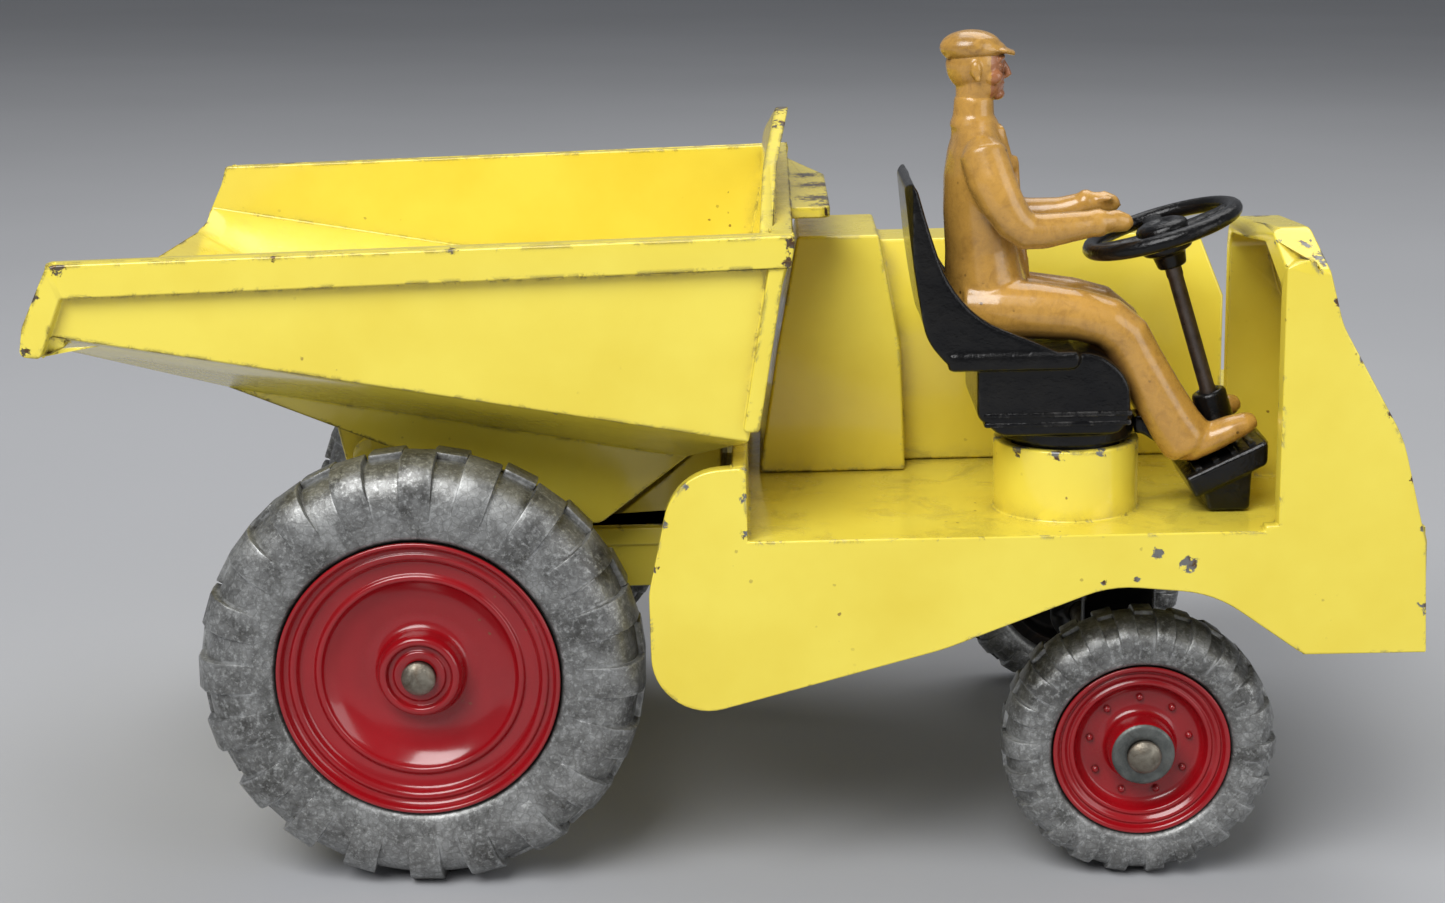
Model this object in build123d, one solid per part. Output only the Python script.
from build123d import *
import os
from math import asin, atan2, cos, degrees, hypot, radians, sin

# Toy dumper. Body pieces are drawn in the body frame: x forward to the cab end, y to the far side,
# z up from the top face of the deck. place() then tilts and lifts them onto the wheels.
# A point of an outline is (along, up) or (along, up, corner radius).

# ---- body casting
BODY_HALF = 29.0          # middle plane to the outer face of a flank
FLANK_WALL = 1.4
DECK_WALL = 1.6
DECK_START = 0.0
DECK_END = 51.4
NOSE_X = 52.6
BULKHEAD_WALL = 1.1
BULKHEAD_TOP = 5.8
BULKHEAD_SPAN = 15.0
SILL_Z = -9.9             # lower edge of the nose
ARCH_END = 43.3           # where the wheel arch meets the nose's lower edge
FENDER_BACK = -6.55
FENDER_LOW = -14.9

# ---- cowl (foot shield on the driver's side)
COWL_BACK = 40.1
COWL_TOP = 22.5
COWL_DEPTH = 17.6
COWL_WALL = 1.3
CHEEK_SETBACK = 1.1       # how much further forward the near cheek starts than the far one
SHOULDER_DROP = 2.8
SHOULDER_RUN = 4.2

# ---- pedestal and swivel
SEAT_X = 26.15
SEAT_Y = 9.0 - BODY_HALF
PEDESTAL_R = 5.67
PEDESTAL_H = 5.6
PEDESTAL_RIM = 0.9
RECESS_DEPTH = 0.6
PEDESTAL_PLATE = 1.5
RIVET_R = 1.0
RIVET_HEAD_R = 1.9
RIVET_HEAD_H = 0.7
RIVET_GRIP = 1.2          # how far the rivet's neck reaches into the seat's foot
WASHER_R = 4.2
RUN_CLEAR = 0.05          # radial clearance of every turning fit
END_GAP = 0.15            # axial play of every turning fit

# ---- engine cover
BONNET_START = 1.9
BULGE_END = 14.2
BULGE_HALF = 8.5
BULGE_TOP_HALF = 6.2
BULGE_CREASE = 10.4
BONNET_TOP = 19.7
TUNNEL_HALF = 5.0
TUNNEL_TOP_HALF = 2.9
TUNNEL_END = 41.2
TUNNEL_CREASE = 13.7
TUNNEL_TOP = 18.8
COVER_WALL = 1.2

# ---- rear frame, cradle and skip pivot
FRAME_HALF = 12.0
FRAME_WALL = 1.5
FRAME_START = -33.0
FRAME_TOP = -3.2
FRAME_LOW = -8.6
CRADLE_WALL = 1.6
PIVOT_X = -29.8
PIVOT_Z = 1.6
PIVOT_BOSS_R = 3.3
PIN_R = 0.8
PIN_HEAD = 0.5           # thickness of the pin's heads, and how far they stand out round it
EAR_R = 2.3
EAR_WALL = 2.4

# ---- skip
SKIP_HALF = 30.5          # over the rim
SKIP_WALL = 1.2
RIM_PROUD = 0.9
RIM_BAND = 2.4
LIP_X = -52.3
SKIP_BACK = 5.2
SKIP_RIM_Z = 22.6         # rim height at the lip
RIM_RISE = 0.9            # how much higher the rim is at the back
TROUGH_HALF = 17.4
TROUGH_LOW_HALF = 16.0
KEEL_X = -11.2
KEEL_Z = -1.9
LEDGE_SLOPE = -0.178
GUARD_H = 6.4
GUARD_WALL = 1.1
TAB_REACH = 2.9
TAB_WALL = 0.9

# ---- wheels and axles
REAR_TYRE_R = 17.5
FRONT_TYRE_R = 10.9
REAR_TYRE_W = 8.0
FRONT_TYRE_W = 6.6
REAR_HUB_R = REAR_TYRE_R - 6.45
FRONT_HUB_R = FRONT_TYRE_R - 3.9
REAR_TRACK = 49.6
FRONT_TRACK = 44.0
REAR_AXLE = (-24.7, -10.75)
FRONT_AXLE = (31.8, -19.1)
AXLE_R = 1.2
HANGER_WALL = 1.6

# ---- seat, driver and steering
SEAT_HALF = 6.5
PAN_TOP = 13.7
PAN_WALL = 1.4
WING_WALL = 0.9
PEG_X = -5.65             # peg under the driver, from the swivel axis
PEG_R = 1.0
PEG_DEEP = 1.1
TORSO_HALF = 3.6
HEAD_R = 2.45
TONGUE_HALF = 1.4
PAD_HALF = 4.3
WHEEL_REACH = 7.25        # swivel axis to the middle of the steering wheel
WHEEL_Z = 21.8
COLUMN_LEAN = 16.6
COLUMN_R = 0.65
COLUMN_LENGTH = 15.4
COLUMN_TOP_GAP = 0.2      # how far the rod's top end is sunk in the wheel's hub
STEER_R = 6.3
STEER_RIM_R = 0.55
HUB_STEER_R = 1.7
SPOKE_WIDTH = 1.3
SPOKE_WALL = 0.6
SOCKET_R = 1.35


def corners(points):
    """Split (a, b) or (a, b, radius) points into places and radii."""
    places = [(p[0], p[1]) for p in points]
    radii = [p[2] if len(p) > 2 else 0.0 for p in points]
    return places, radii


def face_on(points, make_point):
    """A flat face from an outline, with its corners rounded."""
    places, radii = corners(points)
    line = FilletPolyline(*[make_point(a, b) for a, b in places], radius=radii, close=True)
    return make_face(line.edges())


def slab_y(points, y_low, y_high):
    """An outline seen from the side, (x, z), made solid from y_low to y_high."""
    face = face_on(points, lambda a, b: (a, y_low, b))
    return extrude(face, amount=y_high - y_low, dir=(0, 1, 0))


def slab_x(points, x_low, x_high, slope=0.0):
    """An outline seen along the length, (y, z), made solid from x_low to x_high, rising by slope."""
    face = face_on(points, lambda a, b: (x_low, a, b))
    return extrude(face, amount=(x_high - x_low) * hypot(1, slope), dir=(1, 0, slope))


def block(x0, x1, y0, y1, z0, z1):
    return Pos((x0 + x1) / 2, (y0 + y1) / 2, (z0 + z1) / 2) * Box(x1 - x0, y1 - y0, z1 - z0)


def rod_y(x, z, r, y0, y1):
    return Pos(x, (y0 + y1) / 2, z) * Rot(90, 0, 0) * Cylinder(r, y1 - y0)


def rod_z(x, y, r, z0, z1):
    return Pos(x, y, (z0 + z1) / 2) * Cylinder(r, z1 - z0)


def other_side(shape):
    return mirror(shape, about=Plane.XZ)


def both_sides(shape):
    return shape + other_side(shape)


# ---------------------------------------------------------------- where the body sits
def body_tilt():
    """The nose-up angle that brings both axles to their wheels' heights."""
    run = FRONT_AXLE[0] - REAR_AXLE[0]
    rise = FRONT_AXLE[1] - REAR_AXLE[1]
    drop = FRONT_TYRE_R - REAR_TYRE_R
    return degrees(asin(drop / hypot(run, rise)) - atan2(rise, run))


def body_lift():
    angle = radians(body_tilt())
    return REAR_TYRE_R - REAR_AXLE[0] * sin(angle) - REAR_AXLE[1] * cos(angle)


def body_place():
    return Pos(0, 0, body_lift()) * Rot(0, -body_tilt(), 0)


# ---------------------------------------------------------------- body casting
def flank_outline():
    return [
        (BULKHEAD_WALL, BULKHEAD_TOP, 0.5),
        (-4.4, BULKHEAD_TOP - 0.4, 4.6),
        (FENDER_BACK, -4.0, 5.0),
        (FENDER_BACK, FENDER_LOW, 4.4),
        (16.0, -8.9, 20.0),
        (28.6, -4.1, 9.0),
        (36.4, -4.9, 9.0),
        (ARCH_END, SILL_Z, 2.0),
        (NOSE_X, SILL_Z, 0.9),
        (52.2, -1.2, 20.0),
        (50.2, 6.9, 15.0),
        (45.4, 15.6, 6.0),
        (43.2, 20.6, 0.7),
        (COWL_BACK, 20.2, 2.6),
        (COWL_BACK, 0.0),
        (BULKHEAD_WALL, 0.0),
    ]


def cowl_side(inset):
    """The cowl seen from the side: inset 0 is the outside, more is the hollow, open at the back."""
    back = COWL_BACK if inset == 0 else COWL_BACK - 2.0
    low = SILL_Z if inset == 0 else 0.0
    return [
        (back, -DECK_WALL if inset == 0 else low),
        (ARCH_END, low),
        (NOSE_X - inset, low),
        (52.2 - inset, -1.2 if inset == 0 else 0.6),
        (50.2 - inset, 6.9, 10.0),
        (45.4 - inset, 15.6, 6.0 - inset),
        (43.6 - 0.8 * inset, COWL_TOP - inset, 0.7),
        (back, COWL_TOP - inset, 2.0 if inset == 0 else 0.3),
    ]


def cowl_front(inset):
    """The cowl seen from the front."""
    near = -BODY_HALF + inset
    far = -BODY_HALF + COWL_DEPTH - inset
    low = SILL_Z - 1.0 if inset == 0 else 0.0
    top = COWL_TOP - inset
    return [
        (near, low),
        (near, top - SHOULDER_DROP, 0.6),
        (near + SHOULDER_RUN, top - 0.1, 1.0),
        (far, top - 1.0, 2.6 - inset),
        (far, low),
    ]


def cowl(inset):
    side = slab_y(cowl_side(inset), -BODY_HALF - 1, 0)
    return side & slab_x(cowl_front(inset), COWL_BACK - 3, NOSE_X + 1)


def cheek_cut():
    """Wedge that sets the cowl's rear edge further forward towards the near cheek."""
    near, middle = -BODY_HALF - 1, -BODY_HALF + COWL_DEPTH * 0.6
    x = COWL_BACK
    outline = Polyline(
        (x - 0.5, near, 0.4),
        (x + CHEEK_SETBACK, near, 0.4),
        (x, middle, 0.4),
        (x - 0.5, middle, 0.4),
        close=True,
    )
    return extrude(make_face(outline), amount=COWL_TOP + 1, dir=(0, 0, 1))


def pedestal():
    """Hollow round pedestal with a sunk top plate for the swivel washer."""
    top = PEDESTAL_H
    solid = rod_z(SEAT_X, SEAT_Y, PEDESTAL_R, -DECK_WALL, top)
    solid -= rod_z(SEAT_X, SEAT_Y, PEDESTAL_R - PEDESTAL_RIM, top - RECESS_DEPTH, top + 1)
    hollow_top = top - RECESS_DEPTH - PEDESTAL_PLATE
    solid -= rod_z(SEAT_X, SEAT_Y, PEDESTAL_R - PEDESTAL_RIM - 0.4, -DECK_WALL - 1, hollow_top)
    solid -= rod_z(SEAT_X, SEAT_Y, RIVET_R + RUN_CLEAR, hollow_top - 1, top)
    return solid


def hanger(axle, top, y_out):
    """A cast leg on each side that carries an axle."""
    x, z = axle
    half = 3.0
    low, corner = z - half, half - 0.1
    outline = [(x - half, top), (x - half, low, corner), (x + half, low, corner), (x + half, top)]
    leg = slab_y(outline, -y_out, -y_out + HANGER_WALL)
    leg -= rod_y(x, z, AXLE_R, -y_out - 1, -y_out + HANGER_WALL + 1)
    return both_sides(leg)


def rear_frame():
    """Downward-open box between the rear wheels."""
    box = block(FRAME_START, BULKHEAD_WALL, -FRAME_HALF, FRAME_HALF, FRAME_LOW, FRAME_TOP)
    inner = FRAME_HALF - FRAME_WALL
    hollow = block(
        FRAME_START + FRAME_WALL, BULKHEAD_WALL + 1, -inner, inner, FRAME_LOW - 1, FRAME_TOP - FRAME_WALL
    )
    rail_top = FRAME_TOP - 0.2
    side = -FRAME_HALF
    rail = block(FRAME_START + 1, BULKHEAD_WALL, side - 0.4, side + 0.2, rail_top - 1.5, rail_top)
    riser = block(DECK_START, BULKHEAD_WALL + FRAME_WALL, -FRAME_HALF, FRAME_HALF, FRAME_LOW, 0)
    return box - hollow + both_sides(rail) + riser


def chassis_body():
    flank = slab_y(flank_outline(), -BODY_HALF, -BODY_HALF + FLANK_WALL)
    above_deck = block(BULKHEAD_WALL + 5, NOSE_X + 5, 0, BODY_HALF + 5, 0, COWL_TOP + 5)
    far_flank = other_side(flank) - above_deck
    deck = block(DECK_START, DECK_END, -BODY_HALF + 0.5, BODY_HALF - 0.5, -DECK_WALL, 0)
    deck -= rod_z(SEAT_X, SEAT_Y, PEDESTAL_R - 0.5, -DECK_WALL - 1, 1)
    wall = slab_x(
        [
            (-BODY_HALF + 0.2, -DECK_WALL),
            (-BODY_HALF + 0.2, BULKHEAD_TOP, 0.4),
            (-BODY_HALF + BULKHEAD_SPAN, BULKHEAD_TOP, 0.4),
            (-BODY_HALF + BULKHEAD_SPAN, -DECK_WALL),
        ],
        0.0,
        BULKHEAD_WALL,
    )
    apron = slab_y(
        [
            (NOSE_X - 1.6, -DECK_WALL / 2),
            (NOSE_X - 1.6, SILL_Z),
            (NOSE_X, SILL_Z, 0.9),
            (NOSE_X - 0.35, 0.0),
            (DECK_END - 0.5, 0.0),
        ],
        -BODY_HALF + 0.5,
        BODY_HALF - 0.5,
    )
    body = flank + far_flank + deck + both_sides(wall) + apron
    body += cowl(0) - block(COWL_BACK - 1, NOSE_X - 1.6, -BODY_HALF + FLANK_WALL, 0, SILL_Z - 2, -DECK_WALL)
    body -= cowl(COWL_WALL)
    body -= cheek_cut()
    body += rear_frame()
    body += hanger(REAR_AXLE, FRAME_LOW + 1, FRAME_HALF)
    body += hanger(FRONT_AXLE, -DECK_WALL + 0.5, FRAME_HALF)
    body += pedestal()
    return body


# ---------------------------------------------------------------- engine cover
def taper(x0, x1, half, top_x0, top_x1, top_half, z0, z1):
    """A block whose top face is smaller than its foot."""
    low = Pos(0, 0, z0) * make_face(Polyline((x0, -half), (x1, -half), (x1, half), (x0, half), close=True))
    high = Pos(0, 0, z1) * make_face(
        Polyline((top_x0, -top_half), (top_x1, -top_half), (top_x1, top_half), (top_x0, top_half), close=True)
    )
    return loft([low, high])


def bonnet_shape(inset):
    """Bulge at the back and a narrow tunnel to the front, each with a tapered upper half."""
    foot = 0.05 if inset == 0 else -1.0
    start, end = BONNET_START + inset, BULGE_END - inset
    wide, wide_top = BULGE_HALF - inset, BULGE_TOP_HALF - inset
    crease_start = start + 1.7
    crease_end = end - 0.3
    slim, slim_top = TUNNEL_HALF - inset, TUNNEL_TOP_HALF - inset * 0.8
    stop = TUNNEL_END - inset
    shape = taper(start, end, wide, crease_start, crease_end, wide, foot, BULGE_CREASE)
    shape += taper(
        crease_start, crease_end, wide, start + 3.6, end - 1.9, wide_top, BULGE_CREASE, BONNET_TOP - inset
    )
    shape += taper(start + 4, stop, slim, start + 4, stop, slim, foot, TUNNEL_CREASE)
    shape += taper(
        start + 4, stop, slim, start + 5, stop - 1.8, slim_top, TUNNEL_CREASE, TUNNEL_TOP - inset
    )
    return shape


def bonnet():
    return bonnet_shape(0) - bonnet_shape(COVER_WALL)


# ---------------------------------------------------------------- skip, cradle and pin
def floor_z(x):
    """Outer face of the skip's sloping floor."""
    return KEEL_Z + (KEEL_X - x) * floor_slope()


def floor_slope():
    return (SKIP_RIM_Z - 7.0 - KEEL_Z) / (KEEL_X - LIP_X)


def rim_z(x):
    return SKIP_RIM_Z + RIM_RISE * (x - LIP_X) / (SKIP_BACK - LIP_X)


def skip_side(wall):
    """The skip seen from the side; the outside with wall 0, the hollow with its wall thickness."""
    top = 0.0 if wall == 0 else 2.0
    front = LIP_X + 2.2 + wall
    rise = wall * hypot(1, floor_slope())
    return [
        (front - wall * 3, rim_z(front) + top),
        (SKIP_BACK - 0.2 - wall, rim_z(SKIP_BACK) + top),
        (1.3 - wall, 7.7 + rise),
        (KEEL_X, KEEL_Z + rise, 1.2),
        (LIP_X - 3 * wall, floor_z(LIP_X - 3 * wall) + rise),
    ]


def skip_section(wall):
    """The skip seen from the front at the keel; it rises forward with LEDGE_SLOPE."""
    side = SKIP_HALF - RIM_PROUD - wall
    trough = TROUGH_HALF - wall
    low = TROUGH_LOW_HALF - wall
    half = [(side, 60.0), (side, 10.2 + wall), (trough, 5.2 + wall), (low, -10.0)]
    return half + [(-y, z) for y, z in reversed(half)]


def skip_core(wall):
    x_low, x_high = LIP_X - 8, SKIP_BACK + 4
    lift = (x_low - KEEL_X) * LEDGE_SLOPE
    section = [(y, z + lift) for y, z in skip_section(wall)]
    side = slab_y(skip_side(wall), -SKIP_HALF - 1, SKIP_HALF + 1)
    return side & slab_x(section, x_low, x_high, LEDGE_SLOPE)


def skip_rim():
    """Rim band along both sides, turned down at the lip."""
    outer = [
        (LIP_X + 2.5, rim_z(LIP_X), 1.0),
        (SKIP_BACK, rim_z(SKIP_BACK), 0.4),
        (SKIP_BACK - 0.4, rim_z(SKIP_BACK) - RIM_BAND, 0.2),
        (LIP_X + 3.3, rim_z(LIP_X) - RIM_BAND - 0.1, 0.3),
        (LIP_X + 1.4, 15.6, 0.5),
        (LIP_X - 0.2, 15.8, 0.5),
        (LIP_X + 0.2, 18.0, 2.0),
    ]
    return both_sides(slab_y(outer, -SKIP_HALF, -SKIP_HALF + 2.2))


def skip_lip():
    """Thick downturned front edge across the width."""
    outline = [
        (LIP_X - 0.2, 15.8, 0.5),
        (LIP_X + 0.1, 17.4, 0.6),
        (LIP_X + 3.0, 17.2),
        (LIP_X + 3.0, 16.3),
        (LIP_X + 1.4, 15.6, 0.3),
    ]
    return slab_y(outline, -SKIP_HALF + 1, SKIP_HALF - 1)


def rear_strip():
    """Narrow flange down each rear corner."""
    low = 8.8
    outline = [
        (SKIP_BACK - 1.8, rim_z(SKIP_BACK) - 1),
        (SKIP_BACK - 0.6, rim_z(SKIP_BACK) - 1),
        (2.2, low, 0.3),
        (1.0, low, 0.3),
    ]
    return both_sides(slab_y(outline, -SKIP_HALF + 0.2, -SKIP_HALF + RIM_PROUD + 1))


def guard():
    """Gable-shaped guard on the rear rim, leaning back at the top."""
    base = rim_z(SKIP_BACK) - 0.6
    half = SKIP_HALF - 2.2
    gable = slab_x([(-half, base), (half, base), (0.0, base + GUARD_H + 0.6, 1.0)], 0, SKIP_BACK + 6)
    x = SKIP_BACK - GUARD_WALL - 1.6
    lean = slab_y(
        [
            (x, base),
            (x + 0.3, base + 3.6, 8.0),
            (x + 1.6, base + GUARD_H + 1),
            (x + GUARD_WALL + 1.6, base + GUARD_H + 1),
            (x + GUARD_WALL + 0.3, base + 3.6, 8.0),
            (x + GUARD_WALL, base),
        ],
        -half,
        half,
    )
    return gable & lean


def tab():
    """Flat catch tab behind the rear rim, with one tapered end."""
    z = rim_z(SKIP_BACK) - 0.2
    x0, x1 = SKIP_BACK - 1.0, SKIP_BACK + TAB_REACH
    line = FilletPolyline(
        (x0, -14.5, z - TAB_WALL),
        (x1, -14.5, z - TAB_WALL),
        (x1, 6.5, z - TAB_WALL),
        (x0 + 1.0, 18.5, z - TAB_WALL),
        (x0, 18.5, z - TAB_WALL),
        radius=[0, 0.9, 2.5, 0, 0],
        close=True,
    )
    return extrude(make_face(line.edges()), amount=TAB_WALL, dir=(0, 0, 1))


def skip_ears():
    """Two lugs under the floor that hold the pin."""
    x, z = PIVOT_X, PIVOT_Z
    outline = [
        (x - 4.0, floor_z(x - 4.0) + 0.4),
        (x - EAR_R, z - EAR_R, EAR_R - 0.1),
        (x + EAR_R, z - EAR_R, EAR_R - 0.1),
        (x + 5.0, floor_z(x + 5.0) + 0.4),
    ]
    y = FRAME_HALF - CRADLE_WALL - 0.3
    ear = slab_y(outline, -y, -y + EAR_WALL)
    ear -= rod_y(x, z, PIN_R + RUN_CLEAR, -y - 1, -y + EAR_WALL + 1)
    return both_sides(ear)


def skip():
    body = skip_core(0) + skip_rim() + skip_lip() + rear_strip()
    body -= skip_core(SKIP_WALL)
    return body + guard() + tab() + skip_ears()


def cradle_outline():
    """Side cheek: round boss at the pivot, dip under the keel, ramp up behind the skip."""
    gap = 1.0
    low = FRAME_TOP
    boss = PIVOT_BOSS_R
    x_ramp = KEEL_X + 0.4
    return [
        (PIVOT_X - 1.9, low),
        (PIVOT_X - 1.9, PIVOT_Z + boss - 0.1, 1.6),
        (PIVOT_X + 1.4, PIVOT_Z + boss - 0.3, 1.4),
        (KEEL_X - 5.0, floor_z(KEEL_X - 5.0) - gap - 0.2, 3.0),
        (KEEL_X - 4.6, low),
    ], [
        (x_ramp, low),
        (-2.6, low + 7.0 - gap * 0.4, 0.4),
        (-1.2, low + 7.0 - gap * 0.4, 0.3),
        (-1.2, low),
    ]


def skip_cradle():
    front, back = cradle_outline()
    y = FRAME_HALF
    cheek = slab_y(front, -y, -y + CRADLE_WALL) + slab_y(back, -y, -y + CRADLE_WALL)
    cheek -= rod_y(PIVOT_X, PIVOT_Z, PIN_R, -y - 1, -y + CRADLE_WALL + 1)
    post = block(-3.0, -1.2, -y + 0.5, y - 0.5, FRAME_TOP, FRAME_TOP + 5.0)
    bridge = block(KEEL_X - 17.0, KEEL_X - 4.6, -y + 0.5, y - 0.5, FRAME_TOP, FRAME_TOP + 0.9)
    spine = both_sides(block(KEEL_X - 6.0, -1.2, -y, -y + CRADLE_WALL, FRAME_TOP, FRAME_TOP + 0.35))
    return both_sides(cheek) + post + bridge + spine


def skip_pin():
    """Headed pin through the cheeks and ears."""
    y = FRAME_HALF
    pin = rod_y(PIVOT_X, PIVOT_Z, PIN_R, -y, y)
    head = rod_y(PIVOT_X, PIVOT_Z, PIN_R + PIN_HEAD, -y - PIN_HEAD, -y)
    return pin + both_sides(head)


# ---------------------------------------------------------------- wheels and axles
def turned(points):
    """A ring or disc turned about the y axis from (radius, along y) points."""
    face = face_on(points, lambda a, b: (a, b, 0))
    return revolve(face, axis=Axis.Y)


def tyre(radius, width, seat):
    """Tyre about the origin with round shoulders and bulged side walls."""
    half = width / 2
    return turned(
        [
            (seat, -half + 0.9, 0.0),
            (seat + 0.8, -half + 0.15, 0.6),
            (radius - 2.4, -half, 0.9),
            (radius, -half + 1.9, 1.4),
            (radius, half - 1.9, 1.4),
            (radius - 2.4, half, 0.9),
            (seat + 0.8, half - 0.15, 0.6),
            (seat, half - 0.9, 0.0),
        ]
    )


def hub(seat, width, boss_r, boss_out):
    """Dished hub about the origin, outer face towards -y."""
    half = width / 2
    bore = AXLE_R + RUN_CLEAR
    dish = seat * 0.72
    return turned(
        [
            (bore, -half - boss_out),
            (boss_r, -half - boss_out, 0.3),
            (boss_r, -half + 1.4),
            (dish, -half + 1.0, 0.6),
            (dish + 0.5, -half + 0.1),
            (seat, -half + 0.9),
            (seat, half - 0.9),
            (seat - 1.2, half - 0.9),
            (seat - 1.2, -half + 2.6),
            (boss_r + 0.6, -half + 2.8),
            (boss_r + 0.6, half - 0.4),
            (bore, half - 0.4),
        ]
    )


def wheel_pose(axle, track, side):
    """Where a wheel sits; its outer face turns to the side it is on."""
    x, z = axle
    centre = body_place() * Pos(x, 0, z)
    turn = Rot(0, 0, 90 + side * 90)
    return Pos(centre.position.X, side * track / 2, centre.position.Z) * turn


def axle_shaft(axle, reach):
    """Shaft with peened round heads that keep the hubs on."""
    x, z = axle
    centre = (body_place() * Pos(x, 0, z)).position
    shaft = rod_y(0, 0, AXLE_R, -reach, reach)
    head_r = AXLE_R + 0.15
    head = turned([(0.0, -reach - 0.75), (head_r, -reach - 0.45, 0.2), (head_r, -reach), (0.0, -reach)])
    return Pos(centre.X, 0, centre.Z) * (shaft + both_sides(head))


# ---------------------------------------------------------------- seat, swivel, driver, steering
def seat_foot():
    return PEDESTAL_H - RECESS_DEPTH + 0.8


def swivel_washer():
    z = PEDESTAL_H - RECESS_DEPTH
    ring = rod_z(SEAT_X, SEAT_Y, WASHER_R, z, seat_foot() - 0.05)
    return ring - rod_z(SEAT_X, SEAT_Y, RIVET_R + RUN_CLEAR, z - 1, z + 2)


def seat_rivet():
    plate_low = PEDESTAL_H - RECESS_DEPTH - PEDESTAL_PLATE
    shaft = rod_z(SEAT_X, SEAT_Y, RIVET_R, plate_low - END_GAP, seat_foot() + RIVET_GRIP)
    head_top = plate_low - END_GAP
    return shaft + rod_z(SEAT_X, SEAT_Y, RIVET_HEAD_R, head_top - RIVET_HEAD_H, head_top)


def from_seat(points):
    """Outline points measured from the swivel axis and the pan's top face."""
    return [(SEAT_X + p[0], PAN_TOP + p[1], *p[2:]) for p in points]


def seat():
    """Bucket seat on a boxed stand with a round foot."""
    x, y, foot = SEAT_X, SEAT_Y, seat_foot()
    near, far = y - SEAT_HALF, y + SEAT_HALF
    disc = rod_z(x, y, PEDESTAL_R - 0.4, foot, foot + 1.5)
    disc -= rod_z(x, y, RIVET_R, foot - 1, foot + RIVET_GRIP)
    high = PAN_TOP - 0.4
    front, back = x + 4.2, x - 7.4
    low = foot + 1.3
    profile = [(x - 6.6, low), (front, low), (front, high, 3.0), (back, high), (back, low + 1.3, 0.5)]
    stand = slab_y(profile, near + 0.8, far - 0.8)
    low = -PAN_WALL
    pan = slab_y(from_seat([(-9.55, low, 0.3), (-0.25, low, 0.6), (-0.25, 0, 0.6), (-9.55, 0)]), near, far)
    back = slab_y(
        from_seat(
            [
                (-9.55, -1.3, 0.3),
                (-11.25, 0.9, 2.0),
                (-12.2, 6.3, 6.0),
                (-12.75, 12.5, 0.3),
                (-11.95, 12.6, 0.3),
                (-11.1, 6.5, 6.0),
                (-10.05, 1.5, 2.0),
                (-8.15, -0.5),
            ]
        ),
        near,
        far,
    )
    wing = slab_y(
        from_seat(
            [
                (-9.35, -0.9),
                (-11.25, 1.1, 1.0),
                (-12.6, 12.2, 0.4),
                (-11.3, 11.5, 0.8),
                (-10.05, 7.9, 3.0),
                (-8.85, 3.9, 1.5),
                (-4.95, 1.7, 2.0),
                (-1.25, -0.2),
            ]
        ),
        near,
        near + WING_WALL,
    )
    wings = wing + Pos(0, far - near - WING_WALL, 0) * wing
    peg_hole = rod_z(x + PEG_X, y, PEG_R, PAN_TOP - PEG_DEEP - 0.1, PAN_TOP + 1)
    swing = rod_z(x, y, COWL_BACK - SEAT_X - 0.15, foot, PAN_TOP + 13.0)
    return (disc + stand + pan + back + wings) & swing - peg_hole


def foot_reach():
    """Furthest the footplate may stand from the swivel axis and still swing past the cowl's edges."""
    side = min(COWL_DEPTH - COWL_WALL - BODY_HALF - SEAT_Y, BODY_HALF + SEAT_Y - COWL_WALL)
    return hypot(COWL_BACK - SEAT_X, side) - 0.2


def footplate():
    """Tongue, tilted pedal pad, rest block and column socket in front of the seat."""
    x, y, foot = SEAT_X, SEAT_Y, seat_foot()
    tongue = slab_y(
        [
            (x + 5.75, foot + 0.1),
            (x + 10.05, 3.1),
            (x + 13.05, 4.5),
            (x + 13.05, 6.4, 0.6),
            (x + 10.25, 6.6, 1.5),
            (x + 5.75, foot + 1.5),
        ],
        y - TONGUE_HALF,
        y + TONGUE_HALF,
    )
    pad_outline = [(x + 8.75, 3.0, 0.2), (x + 15.05, 5.9, 0.6), (x + 15.85, 4.3, 0.6), (x + 9.55, 1.3, 0.3)]
    pad = slab_y(pad_outline, y - PAD_HALF, y + PAD_HALF)
    pad &= rod_z(x, y, foot_reach(), 0, foot + 5)
    rest_outline = [(x + 10.05, 2.6), (x + 10.65, 0.15, 0.4), (x + 13.85, 0.15, 0.4), (x + 14.05, 4.2)]
    rest = slab_y(rest_outline, y - PAD_HALF + 0.7, y + PAD_HALF - 0.7)
    low = -COLUMN_LENGTH - COLUMN_TOP_GAP
    socket = steering_place() * Pos(0, 0, low + 0.8) * Cylinder(SOCKET_R, 2.8)
    bore = steering_place() * Pos(0, 0, low + 2.0 - END_GAP) * Cylinder(COLUMN_R + RUN_CLEAR, 4.0)
    top = foot + 1.5
    link_outline = [(x + 4.85, foot + 0.1), (x + 6.05, foot + 0.1), (x + 6.05, top), (x + 5.05, top)]
    link = slab_y(link_outline, y - TONGUE_HALF, y + TONGUE_HALF)
    link -= rod_z(x, y, PEDESTAL_R - 0.4, foot - 1, foot + 3)
    return tongue + pad + rest + link + socket - bore


def steering_place():
    return Pos(SEAT_X + WHEEL_REACH, SEAT_Y, WHEEL_Z) * Rot(0, -COLUMN_LEAN, 0)


def steering_column():
    middle = -COLUMN_LENGTH / 2 - COLUMN_TOP_GAP
    return steering_place() * Pos(0, 0, middle) * Cylinder(COLUMN_R, COLUMN_LENGTH)


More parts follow.
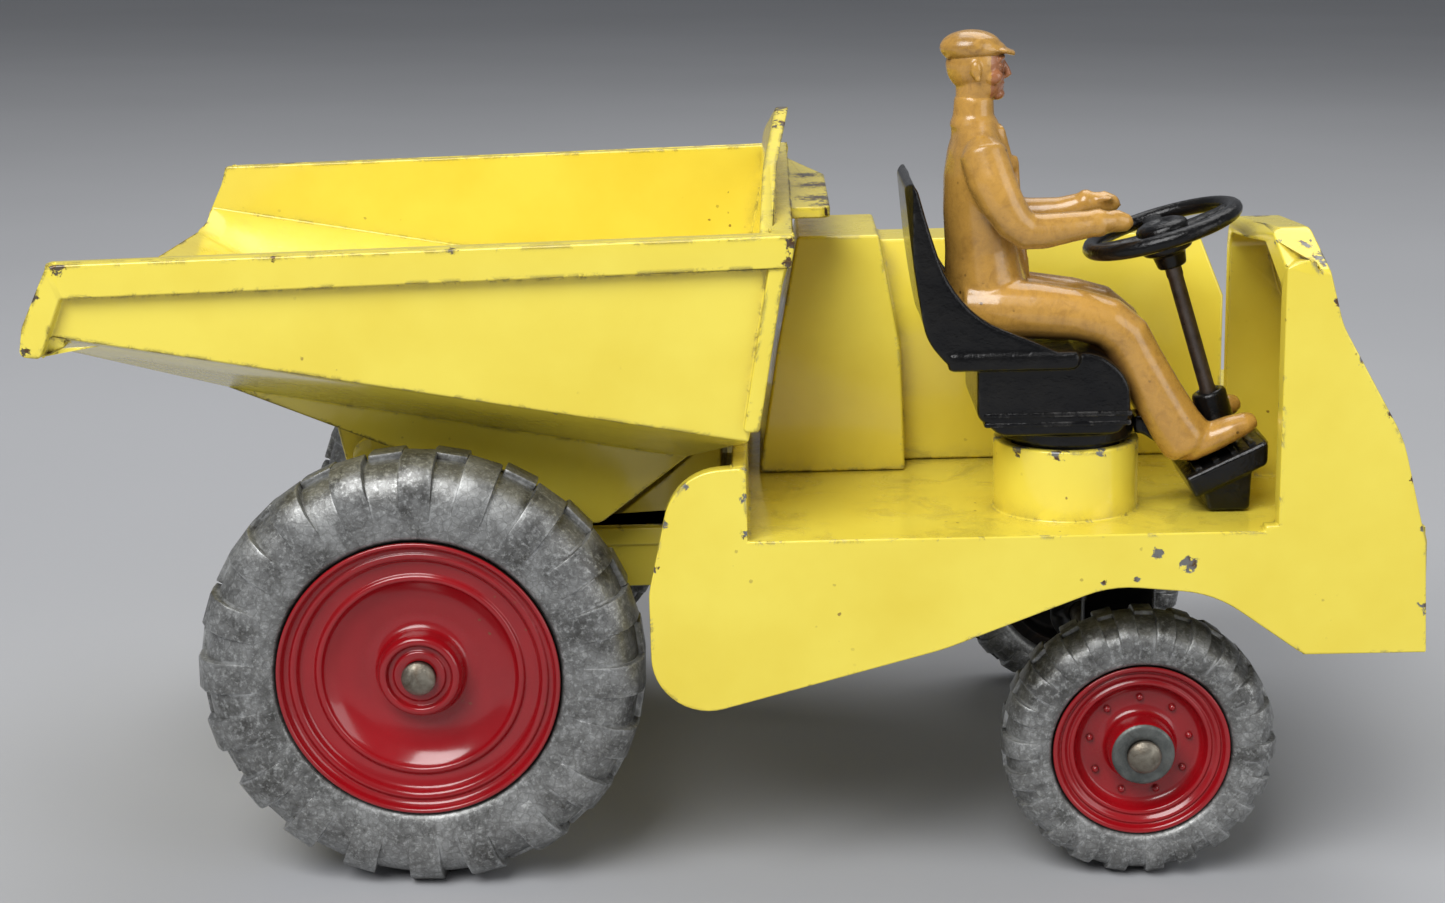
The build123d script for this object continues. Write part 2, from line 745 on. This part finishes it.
def steering_wheel():
    rim = Torus(STEER_R - STEER_RIM_R, STEER_RIM_R)
    hub_piece = Pos(0, 0, -0.6) * Cylinder(HUB_STEER_R, 2.4)
    hub_piece += Pos(0, 0, -2.4) * Cylinder(HUB_STEER_R - 0.6, 1.6)
    spoke = Box(2 * STEER_R - 2 * STEER_RIM_R, SPOKE_WIDTH, SPOKE_WALL)
    wheel = rim + hub_piece + spoke + Rot(0, 0, 90) * spoke
    wheel -= Pos(0, 0, -5.2) * Cylinder(COLUMN_R, 10.0)
    return steering_place() * wheel


def limb(p, q, r1, r2):
    """Tapered round limb with round ends."""
    start, end = Vector(*p), Vector(*q)
    axis = end - start
    cone = Solid.make_cone(r1, r2, axis.length, Plane(origin=start, z_dir=axis))
    return Part() + cone + Pos(start) * Sphere(r1) + Pos(end) * Sphere(r2)


def joint_at(along, across, up):
    """A point of the driver, from the swivel axis and the pan's top face."""
    return (SEAT_X + along, SEAT_Y + across, PAN_TOP + up)


def driver():
    """Seated figure with a plain cap, both hands over the steering wheel."""
    y = SEAT_Y
    torso = slab_y(
        from_seat(
            [
                (-9.65, 0.1, 1.5),
                (-3.35, 0.1, 1.0),
                (-3.15, 5.3, 2.0),
                (-4.75, 9.8, 3.0),
                (-3.95, 14.3, 1.5),
                (-5.55, 17.1, 1.0),
                (-8.75, 17.1, 1.0),
                (-9.65, 14.3, 2.0),
                (-9.75, 6.3),
            ]
        ),
        y - TORSO_HALF,
        y + TORSO_HALF,
    )
    figure = torso + limb(joint_at(-7.25, 0, 16.3), joint_at(-7.15, 0, 19.3), 1.6, 1.5)
    figure += Pos(joint_at(-7.15, 0, 20.9)) * Sphere(HEAD_R)
    figure += Pos(joint_at(-7.45, 0, 22.5)) * Cylinder(HEAD_R - 0.25, 2.6)
    peak = from_seat([(-7.15, 22.5), (-4.45, 22.2, 0.2), (-4.45, 22.8, 0.2), (-7.15, 23.4)])
    figure += slab_y(peak, y - 1.6, y + 1.6)
    for side, hand_up in ((-1, 9.2), (1, 9.7)):
        elbow = joint_at(-4.35, side * 4.6, 9.0)
        knee = joint_at(3.85, side * 2.9, 1.1)
        ankle = joint_at(9.25, side * 3.0, -8.3)
        figure += limb(joint_at(-6.85, side * 4.0, 14.9), elbow, 1.6, 1.3)
        figure += limb(elbow, joint_at(3.65, side * 3.4, hand_up), 1.3, 0.8)
        figure += limb(joint_at(-6.65, side * 2.2, 2.4), knee, 2.2, 1.9)
        figure += limb(knee, ankle, 1.8, 1.4)
        figure += limb(ankle, joint_at(13.25, side * 3.2, -6.8), 1.3, 1.0)
    figure -= block(SEAT_X - 14, SEAT_X - 1, y - 8, y + 8, 8, PAN_TOP + 0.02)
    return figure + rod_z(SEAT_X + PEG_X, y, PEG_R, PAN_TOP - PEG_DEEP, PAN_TOP + 1.5)


# ---------------------------------------------------------------- assembly
def body_pieces():
    return {
        "chassis_body": chassis_body(),
        "bonnet": bonnet(),
        "skip_cradle": skip_cradle(),
        "skip": skip(),
        "skip_pivot_pin": skip_pin(),
        "seat": seat(),
        "footplate": footplate(),
        "seat_rivet": seat_rivet(),
        "swivel_washer": swivel_washer(),
        "driver": driver(),
        "steering_column": steering_column(),
        "steering_wheel": steering_wheel(),
    }


def wheel_pieces():
    pieces = {}
    rear_out = REAR_TRACK / 2 + REAR_TYRE_W / 2 - 1.0
    front_out = FRONT_TRACK / 2 + FRONT_TYRE_W / 2 + 0.6
    pieces["rear_axle"] = axle_shaft(REAR_AXLE, rear_out + END_GAP)
    pieces["front_axle"] = axle_shaft(FRONT_AXLE, front_out + END_GAP)
    for name, side in (("near", -1), ("far", 1)):
        rear = wheel_pose(REAR_AXLE, REAR_TRACK, side)
        front = wheel_pose(FRONT_AXLE, FRONT_TRACK, side)
        pieces["rear_hub_" + name] = rear * hub(REAR_HUB_R, REAR_TYRE_W, 3.2, -1.0)
        pieces["rear_tyre_" + name] = rear * tyre(REAR_TYRE_R, REAR_TYRE_W, REAR_HUB_R)
        pieces["front_hub_" + name] = front * hub(FRONT_HUB_R, FRONT_TYRE_W, 2.7, 0.6)
        pieces["front_tyre_" + name] = front * tyre(FRONT_TYRE_R, FRONT_TYRE_W, FRONT_HUB_R)
    return pieces


def main():
    place = body_place()
    pieces = {name: place * shape for name, shape in body_pieces().items()}
    pieces.update(wheel_pieces())
    box = Compound([shape for piece in pieces.values() for shape in piece.solids()]).bounding_box()
    centre = Pos(-(box.min.X + box.max.X) / 2, 0, 0)
    os.makedirs("parts", exist_ok=True)
    for name, shape in pieces.items():
        export_step(Compound((centre * shape).solids()), "parts/" + name + ".step")
    print("box", box.size)
    for name, spot in (
        ("rear_axle", Pos(REAR_AXLE[0], 0, REAR_AXLE[1])),
        ("front_axle", Pos(FRONT_AXLE[0], 0, FRONT_AXLE[1])),
        ("skip_pivot", Pos(PIVOT_X, 0, PIVOT_Z)),
        ("seat_swivel", Pos(SEAT_X, SEAT_Y, 0)),
        ("steering", steering_place()),
    ):
        at = centre * place * spot
        up = Plane(at).z_dir
        print("JOINT", name, tuple(at.position), tuple(up))


if __name__ == "__main__":
    main()
